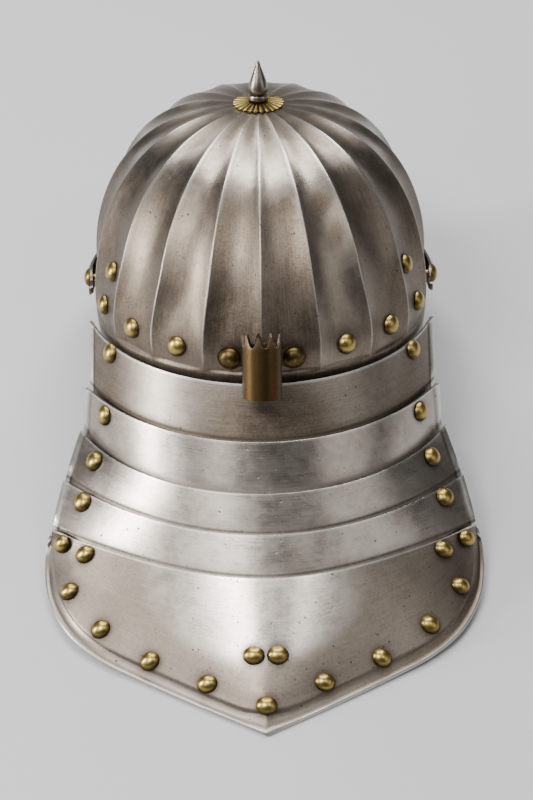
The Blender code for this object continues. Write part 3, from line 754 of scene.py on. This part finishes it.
def blots(point, places):
    """How brown a place is from the blots near it."""
    total = 0.0
    for blot in places:
        far = math.hypot((point.x - blot.x) / blot.width, (point.z - blot.z) / blot.height)
        total += blot.strength * smooth(-1.0, -0.25, -far)
    return total


def band(value, middle, width):
    """1 at the middle of a band, and 0 at its edges."""
    return smooth(-width, 0.0, -abs(value - middle))


def across_flute(column):
    """0 in the middle of a flute, and 1 on the ridges beside it."""
    return abs(2 * ((column / FLUTE_ANGLE) % 1.0) - 1)


def skull_stain_and_shade(column, row, point):
    """Brown round the rim, partly as painted shade; in each flute by its tone, partly as painted shade below
    the bright top; in single blots; and painted shade in the valleys of the crown.
    """
    # brown round the rim, which is also painted shade there
    rim = 0.5 - 0.5 * smooth(FLUTE_FOOT - 1, FLUTE_FOOT + 4, point.z)
    tone = PANEL_TONES.get(math.floor(column / FLUTE_ANGLE), PANEL_TONE)
    flute = tone * (1 - 0.92 * smooth(*PANEL_TOP, point.z))
    # painted shade in the valleys of the crown
    valley_shade = 0.75 * smooth(CROWN_LOW, CROWN_TOP, point.z) * (1 - across_flute(column) ** 2)
    fainter_at_front = 0.45 if point.y > 0 else 1.0
    fainter_at_back = 1.0 if point.y > -40 else 0.6
    return blots(point, SKULL_BLOTS) * fainter_at_front + rim + flute + valley_shade * fainter_at_back


def skull_seam(column, row, point):
    """Painted shade by the first lame's edge, and beside the ridges at the crown."""
    beside_ridge = band(across_flute(column), 0.84, 0.12)
    return 0.35 * band(point.z, LAMES[0].top, 3.5) + 0.45 * beside_ridge * smooth(84, 104, point.z)


def skull_wear_and_highlight(column, row, point):
    """The ridges are worn bright, in a strip that widens up to the crown as a painted highlight."""
    strip = 0.955 - 0.25 * smooth(70, 105, point.z)
    return 0.42 * smooth(-10, 0, point.z) * smooth(strip, 1.0, across_flute(column))


def make_skull():
    half = [0.0, RIDGE_ROUND / 2, RIDGE_ROUND, *np.linspace(RIDGE_ROUND, 1, 8)[1:]]
    shares = [share / 2 for share in half] + [1 - share / 2 for share in half[-2::-1]]
    columns = [FLUTE_ANGLE * (flute + share) for flute in range(FLUTES) for share in shares[:-1]]
    columns = [column - math.pi for column in columns] + [math.pi]
    crown = math.acos((CROWN_HOLE / SKULL_HALF_WIDTH) ** (ROW_SQUARENESS / 2))
    rim = [SKULL_RIM, -22, -18, -16, -14.5, -13.3]
    foot = [*np.linspace(FLUTE_FOOT, FLUTE_FLOOR, 6), -8.5, -7, -5, -2.5, -1]
    shape = sheet(skull_surface, columns, [*rim, *foot, *np.linspace(0.02, crown, 62)])
    paint(shape, stain=skull_stain_and_shade, halo=halo, seam=skull_seam, wear=skull_wear_and_highlight)
    finished("skull_plate", shape, skull_steel, "helmet", ["skull"], edge=EDGE)


LAME_STAIN = (0.62, 0.14, 0.12, 0.12)  # by the lame
LAME_BLOTS_AND_REFLECTION = (  # on the first lame: a painted reflection of the plume holder under it, and brown at its ends
    # a painted reflection of the plume holder, not a stain
    Blot(x=6, z=-36, width=52, height=30, strength=0.50),
    Blot(x=-98, z=-36, width=26, height=40, strength=0.30),
    Blot(x=98, z=-36, width=34, height=40, strength=0.30),
)


def side_share(number, across):
    """How far in from a lame's side edge, in widths of its turned strip."""
    return (1 - abs(across)) * LAMES[number - 1].half_width / TURNED_WIDTH


def make_lame(number):
    lame = LAMES[number - 1]
    even, _ = by_length(lambda across: lame_section(lame, across))
    bend = 1 - TURNED_WIDTH / (2 * lame.half_width)
    shares = [*np.linspace(-1, -bend, 11), *np.linspace(-bend, bend, 141)[1:-1], *np.linspace(bend, 1, 11)]
    columns = [even(float(share)).x / lame.half_width for share in shares]
    rows = list(np.linspace(0, lame_drop(number), 24))

    def relief(across, row):
        inwards = min(side_share(number, across), 1.0)
        bare = smooth(LAME_OVERLAP + 1, LAME_OVERLAP + 5, row)
        return bare * TURNED_EDGE * math.sqrt(max(1 - (1.7 * inwards - 0.7) ** 2, 0.0))

    def stain(across, row, point):
        """Brown toward the ends, and by the edge of the lame below; on the first lame also a painted
        reflection of the plume holder.
        """
        total = LAME_STAIN[number - 1] + 0.22 * smooth(0.72, 1.0, abs(across))
        if number == 1:
            total += blots(point, LAME_BLOTS_AND_REFLECTION)
        return total + 0.30 * band(row, LAME_OVERLAP, 6)

    def seam(across, row, point):
        """Painted shade by the edge of the lame below, and along the inside of the turned strips."""
        return 0.9 * band(row, LAME_OVERLAP, 1.6) + 0.7 * band(side_share(number, across), 1.3, 0.35)

    def wear(across, row, point):
        """The turned strips and the upper edge are worn bright, and brighter still as a painted highlight."""
        side = smooth(-1.1, -0.85, -side_share(number, across))
        return 0.85 * side + 0.8 * smooth(-1.3, -0.4, row - lame_drop(number))

    shape = sheet(lame_surface(number), columns, rows, relief=relief)
    paint(shape, stain=stain, halo=halo, seam=seam, wear=wear)
    name, body = f"lame_{number}", f"lame_{number}_body"
    finished(name + "_plate", shape, lame_steel, body, [name], edge=EDGE)


# a bright patch kept free of brown: a painted highlight where the overhead light is reflected
HIGHLIGHT_PATCH = Blot(x=-6, z=-120, width=62, height=29, strength=0.92)
LAST_BAND_END = 0.93  # the row at which the sunk band along the rim ends


def last_stain_and_highlight(across, row, point):
    """Brown all over but for one bright patch, a painted highlight, and less so on the rim's band, left of its
    right end.
    """
    brown = 0.80
    if row < LAST_BAND_END:
        brown = 0.60 + 0.35 * smooth(40, 90, point.x)
    far = math.hypot((point.x - HIGHLIGHT_PATCH.x) / HIGHLIGHT_PATCH.width, (point.z - HIGHLIGHT_PATCH.z) / HIGHLIGHT_PATCH.height)
    return brown * (1 - HIGHLIGHT_PATCH.strength * smooth(-1.12, -0.75, -far))


def last_seam(across, row, point):
    """Painted shade along both sides of the sunk band."""
    inwards = row * RIM_BAND
    return 0.5 * band(inwards, 3.1, 0.5) + 0.3 * band(inwards, 8.6, 0.7)


def last_wear(across, row, point):
    """The bead and the upper edge are bright."""
    return 0.6 * smooth(-0.26, -0.1, -row) + 0.7 * smooth(1.985, 2.0, row)


def make_last_lame():
    rows = [row.inwards / RIM_BAND for row in BAND_ROWS] + list(np.linspace(1, 2, 40))[1:]
    columns = list(np.linspace(-1, 1, 221))
    shape = sheet(last_lame_point, columns, rows, relief=last_lame_relief, last_column=LAST_STEADY)
    paint(shape, stain=last_stain_and_highlight, halo=halo, seam=last_seam, wear=last_wear)
    finished("lame_5_plate", shape, lame_steel, "lame_5_body", ["lame_5"], edge=EDGE)


# brown, and painted shade over the peak
PEAK_STAIN_AND_SHADE = 0.75


def make_peak():
    ends = [PEAK_END * share for share in (1.0, 0.98, 0.93, 0.85, 0.7, 0.5, 0.25)]
    middle = list(np.linspace(0, math.pi, 121))
    columns = [-end for end in ends] + middle + [math.pi + end for end in reversed(ends)]
    shape = sheet(peak_surface, columns, [*np.linspace(0, 1, 18), *np.linspace(1, 2, 8)[1:]])
    paint(
        shape,
        # the peak's brown is also painted shade
        stain=lambda angle, row, point: PEAK_STAIN_AND_SHADE,
        halo=halo,
        seam=lambda angle, row, point: 0.0,
        # the bright edge is a painted highlight
        wear=lambda angle, row, point: 0.7 * smooth(-0.05, 0.0, -row),
    )
    finished("peak_plate", shape, lame_steel, "helmet", ["peak"], edge=EDGE)


def petal_edge(angle, row, point):
    """Dark between the petals and round the hole."""
    return 1.3 * (1 - abs(math.sin(PETALS * angle / 2))) + 0.9 * row


def make_rosette():
    columns, rows = around(12 * PETALS), list(np.linspace(0, 1, 9))
    shape = sheet(rosette_surface, columns, rows, ROSETTE_PLATE, rosette_relief)
    paint(shape, edge=petal_edge)
    finished("rosette_petals", shape, rosette_brass, "helmet", ["rosette"])


def make_spike():
    finished("spike_turned", turned(SPIKE, 48), spike_steel, "helmet", ["spike"])


TUBE_SKIN = 0.62
EARS_SKIN = 0.8
EARS_REACH = 14  # degrees to each side


def make_holder():
    rows = [*np.linspace(0, HOLDER_LENGTH, 14), *np.linspace(HOLDER_LENGTH, HOLDER_LENGTH + 1, 8)[1:]]
    shape = sheet(holder_surface, around(18 * HOLDER_POINTS), rows, HOLDER_WALL)
    paint(
        shape,
        edge=lambda angle, row, point: TUBE_SKIN,
        wear=lambda angle, row, point: smooth(HOLDER_LENGTH, HOLDER_LENGTH + 0.6, row),
    )
    finished("plume_tube", shape, holder_brass, "helmet", ["plume_holder"], edge=BRASS_EDGE)
    end = EARS_REACH + 0.05
    columns = list(np.radians([-end, *np.linspace(-EARS_REACH, EARS_REACH, 61), end]))
    ears = sheet(ear_surface, columns, list(np.linspace(-1, 1, 9)), EAR_PLATE)
    paint(ears, edge=lambda across, row, point: EARS_SKIN)
    finished("plume_holder_ears", ears, holder_brass, "helmet", edge=BRASS_EDGE)
    web = bmesh.new()
    bmesh.ops.create_cube(web, size=MM)
    for vert in web.verts:
        at_tube = vert.co.y < 0
        vert.co = Vector(
            (high if part > 0 else low) * MM for part, low, high in zip(vert.co, WEB_LOW, WEB_HIGH)
        )
        if at_tube:
            away = WEB_REACH / math.cos(HOLDER_LEAN) - HOLDER_FOOT.z * math.tan(HOLDER_LEAN)
            vert.co.y = (HOLDER_FOOT.y + away) * MM + vert.co.z * math.tan(HOLDER_LEAN)
    finished("plume_holder_web", web, holder_brass, "helmet", edge=BRASS_EDGE)


SHANK_FOOT = -1.2
RIVET = (
    Ring(radius=0.0, height=1.0),
    Ring(radius=0.2, height=0.98),
    Ring(radius=0.4, height=0.91),
    Ring(radius=0.6, height=0.78),
    Ring(radius=0.76, height=0.60),
    Ring(radius=0.88, height=0.40),
    Ring(radius=0.96, height=0.18),
    Ring(radius=1.0, height=0.0),
    Ring(radius=0.4, height=0.0),
    Ring(radius=0.4, height=SHANK_FOOT),
    Ring(radius=0.0, height=SHANK_FOOT),
)


RIM_SHANK_FOOT = -0.3
RIVET_SIDES = 32
DULL = 0.75  # how much more dark skin there is on the rivets beside the plume holder
LAST_HEADS = 0.85  # how deep the last lame's heads are, toward its rim, for their width
LAST_LEAN = math.radians(45)  # how far round that direction turns at the lame's sides
LAST_LEAN_WIDTH = 60
HALO_WIDTH = 1.8

RivetPlace = namedtuple("RivetPlace", "name surface column row body head", defaults=[HEAD])


def rivet_places():
    """Every rivet, under the name of its solid."""
    found = []
    peak_middle = 1 - PEAK_BEND / (PEAK_TOP - PEAK_BEND)
    peak_end = (math.pi + ROW_ANGLE) / 2
    for count in range(FLUTES):
        angle = ROW_ANGLE + count * FLUTE_ANGLE
        name = f"rivet_row_{count + 1:02d}"
        on_peak = abs(angle - math.pi) < peak_end
        if count in (0, FLUTES - 1):
            column = ROW_ANGLE if count == 0 else -ROW_ANGLE
            found.append(RivetPlace(name, ear_surface, column, 0.0, "helmet", BIG_HEAD))
        elif on_peak:
            found.append(RivetPlace(name, peak_surface, angle - math.pi / 2, peak_middle, "helmet"))
        else:
            found.append(RivetPlace(name, skull_surface, angle, row_at(angle, row_height(angle)), "helmet"))
    last = lame_surface(len(LAMES))
    last_body = f"lame_{len(LAMES)}_body"
    for side, sign in (("left", -1), ("right", 1)):
        high = HIGH[side]
        column, row = sign * math.radians(high.angle), math.radians(high.rise)
        found.append(RivetPlace(f"rivet_high_{side}", skull_surface, column, row, "helmet"))
        for number, pivot in enumerate(PIVOTS, 1):
            name, body = f"pivot_{number}_{side}", f"lame_{number}_body"
            found.append(RivetPlace(name, lame_surface(number), sign * pivot.across, pivot.up, body))
        for count, spot in enumerate(RIM_RIVETS, 1):
            name = f"rim_rivet_{count}_{side}"
            found.append(RivetPlace(name, last, sign * spot.across, spot.row, last_body))
        name = f"middle_rivet_{side}"
        found.append(RivetPlace(name, last, sign * MIDDLE.across, MIDDLE.row, last_body, BIG_HEAD))
    found.append(RivetPlace("rim_rivet_tip", last, 0.0, TIP_RIVET_ROW, last_body))
    return found


def make_rivet(rivet):
    centre = rivet.surface(rivet.column, rivet.row)
    normal = normal_at(rivet.surface, rivet.column, rivet.row)
    side = Vector((0, 0, 1)).cross(normal).normalized()
    turn = Matrix((side, normal.cross(side), normal)).transposed().to_4x4()
    dome = DOME * rivet.head
    outward = HELMET.to_3x3() @ normal
    solid = frame["nodes"][rivet.name].data.vertices
    seat_height = max((vert.co - HELMET @ (centre * MM)).dot(outward) / MM for vert in solid) - dome
    foot = RIM_SHANK_FOOT if rivet.name.startswith("rim_") else SHANK_FOOT
    heights = [seat_height + max(ring.height, foot) * dome for ring in RIVET]
    profile = [Ring(ring.radius * rivet.head, height) for ring, height in zip(RIVET, heights)]
    shape = turned(profile, RIVET_SIDES)
    edge = shape.verts.layers.float.new("edge")
    dull = DULL if rivet.surface is ear_surface else 0.0
    for vert in shape.verts:
        # Dark skin grows toward the rim of each head, and the term in y darkens its lower side as painted
        # shade.
        vert[edge] = dull + (vert.co.xy.length - 0.25 * vert.co.y) / (rivet.head * MM)
    if rivet.surface is last_lame_point:
        lean = LAST_LEAN * min(abs(centre.x) / LAST_LEAN_WIDTH, 1)
        to_rim = Vector((math.copysign(math.sin(lean), centre.x), math.cos(lean), 0))
        shape.transform(Matrix.Scale(LAST_HEADS, 4, to_rim))
    shape.transform(Matrix.Translation(centre * MM) @ turn)
    finished(rivet.name + "_head", shape, rivet_brass, rivet.body, [rivet.name])


rivets = rivet_places()
rivet_spots = [(rivet.surface(rivet.column, rivet.row), rivet.head) for rivet in rivets]


def halo(column, row, point):
    """1 at the edge of a rivet's head, and less away from it."""
    gap = min((point - centre).length - head for centre, head in rivet_spots)
    return math.exp(-max(gap, 0.0) / HALO_WIDTH)


make_skull()
for number in range(1, len(LAMES)):
    make_lame(number)
make_last_lame()
make_peak()
make_rosette()
make_spike()
make_holder()
for rivet in rivets:
    make_rivet(rivet)


# ---------------------------------------------------------------- floor, camera and lights


FLOOR_REACH = 6.0  # metres
PALE = (0.55, 0.55, 0.56, 1)


def make_floor():
    shape = bmesh.new()
    bmesh.ops.create_grid(shape, x_segments=1, y_segments=1, size=FLOOR_REACH)
    mesh = bpy.data.meshes.new("floor")
    shape.to_mesh(mesh)
    shape.free()
    look = bpy.data.materials.new("floor")
    look.use_nodes = True
    shader = look.node_tree.nodes["Principled BSDF"]
    shader.inputs["Base Color"].default_value = PALE
    shader.inputs["Roughness"].default_value = 0.9
    mesh.materials.append(look)
    floor = bpy.data.objects.new("floor", mesh)
    bpy.context.scene.collection.objects.link(floor)


CAMERA_DISTANCE = 1300.0
CAMERA_RISE = math.radians(22.3)  # above the helmet's own level
FOCAL = 2.6  # focal length, as a share of the height of the view
HELMET_LEFT = 0.005125  # how far the middle of the skull is left of the middle of the view, in the same way
HELMET_UP = 0.14875
CAMERA_ROLL = math.radians(-0.77)
SENSOR = 36.0


def make_camera():
    place = Vector((0, -math.cos(CAMERA_RISE), math.sin(CAMERA_RISE))) * CAMERA_DISTANCE
    ahead = -place.normalized()
    right = ahead.cross(Vector((0, 0, 1))).normalized()
    up = right.cross(ahead)
    pitch = -math.atan(HELMET_UP / FOCAL)
    yaw = math.atan(HELMET_LEFT / FOCAL)
    tilt = Matrix.Rotation(pitch, 3, right)
    turn = Matrix.Rotation(-yaw, 3, up)
    ahead = turn @ (tilt @ ahead)
    right = turn @ right
    up = right.cross(ahead).normalized()
    roll = Matrix.Rotation(-CAMERA_ROLL, 3, ahead)
    right, up = roll @ right, roll @ up
    axes = Matrix((right, up, -ahead)).transposed().to_4x4()
    data = bpy.data.cameras.new("camera")
    data.sensor_fit = "VERTICAL"
    data.sensor_height = SENSOR
    data.lens = SENSOR * FOCAL
    data.clip_end = 50
    camera = bpy.data.objects.new("camera", data)
    camera.matrix_world = HELMET @ Matrix.Translation(place * MM) @ axes
    bpy.context.scene.collection.objects.link(camera)
    bpy.context.scene.camera = camera


Softbox = namedtuple("Softbox", "name azimuth height distance width tall power")
SOFTBOXES = (  # degrees round from the viewer's side and above the table, metres, watts
    Softbox("far_top", azimuth=180, height=68, distance=1.6, width=1.4, tall=0.60, power=24),
    Softbox("far_left", azimuth=-157, height=36, distance=1.6, width=0.4, tall=0.5, power=6),
    Softbox("far_right", azimuth=150, height=42, distance=1.6, width=0.35, tall=0.35, power=5),
    Softbox("front_top", azimuth=-38, height=58, distance=1.6, width=0.60, tall=0.30, power=17),
    Softbox("front_right", azimuth=26, height=67, distance=1.6, width=0.5, tall=0.10, power=2),
    Softbox("right_top", azimuth=44, height=55, distance=1.6, width=0.35, tall=0.22, power=2.5),
    Softbox("left_strip", azimuth=-79, height=17, distance=1.45, width=0.16, tall=0.75, power=22),
    Softbox("left_soft", azimuth=-42, height=37, distance=1.6, width=0.7, tall=0.45, power=2.8),
    Softbox("right_soft", azimuth=62, height=25, distance=1.6, width=0.9, tall=0.9, power=2.5),
)
LIT_HEIGHT = 0.1  # metres
STUDIO_GREY = (0.5, 0.5, 0.52, 1)
STUDIO_STRENGTH = 0.14


def make_softbox(box):
    """A soft light, aimed at the helmet."""
    data = bpy.data.lights.new(box.name, "AREA")
    data.shape = "RECTANGLE"
    data.size, data.size_y = box.width, box.tall
    data.energy = box.power
    light = bpy.data.objects.new(box.name, data)
    turn, rise = math.radians(box.azimuth), math.radians(box.height)
    away = Vector((math.sin(turn) * math.cos(rise), -math.cos(turn) * math.cos(rise), math.sin(rise)))
    light.location = Vector((0, 0, LIT_HEIGHT)) + away * box.distance
    light.rotation_euler = away.to_track_quat("Z", "Y").to_euler()
    light.visible_camera = False
    bpy.context.scene.collection.objects.link(light)


def make_lights():
    for box in SOFTBOXES:
        make_softbox(box)
    world = bpy.data.worlds.new("studio")
    bpy.context.scene.world = world
    world.use_nodes = True
    world.node_tree.nodes["Background"].inputs["Color"].default_value = STUDIO_GREY
    world.node_tree.nodes["Background"].inputs["Strength"].default_value = STUDIO_STRENGTH


make_floor()
make_camera()
make_lights()
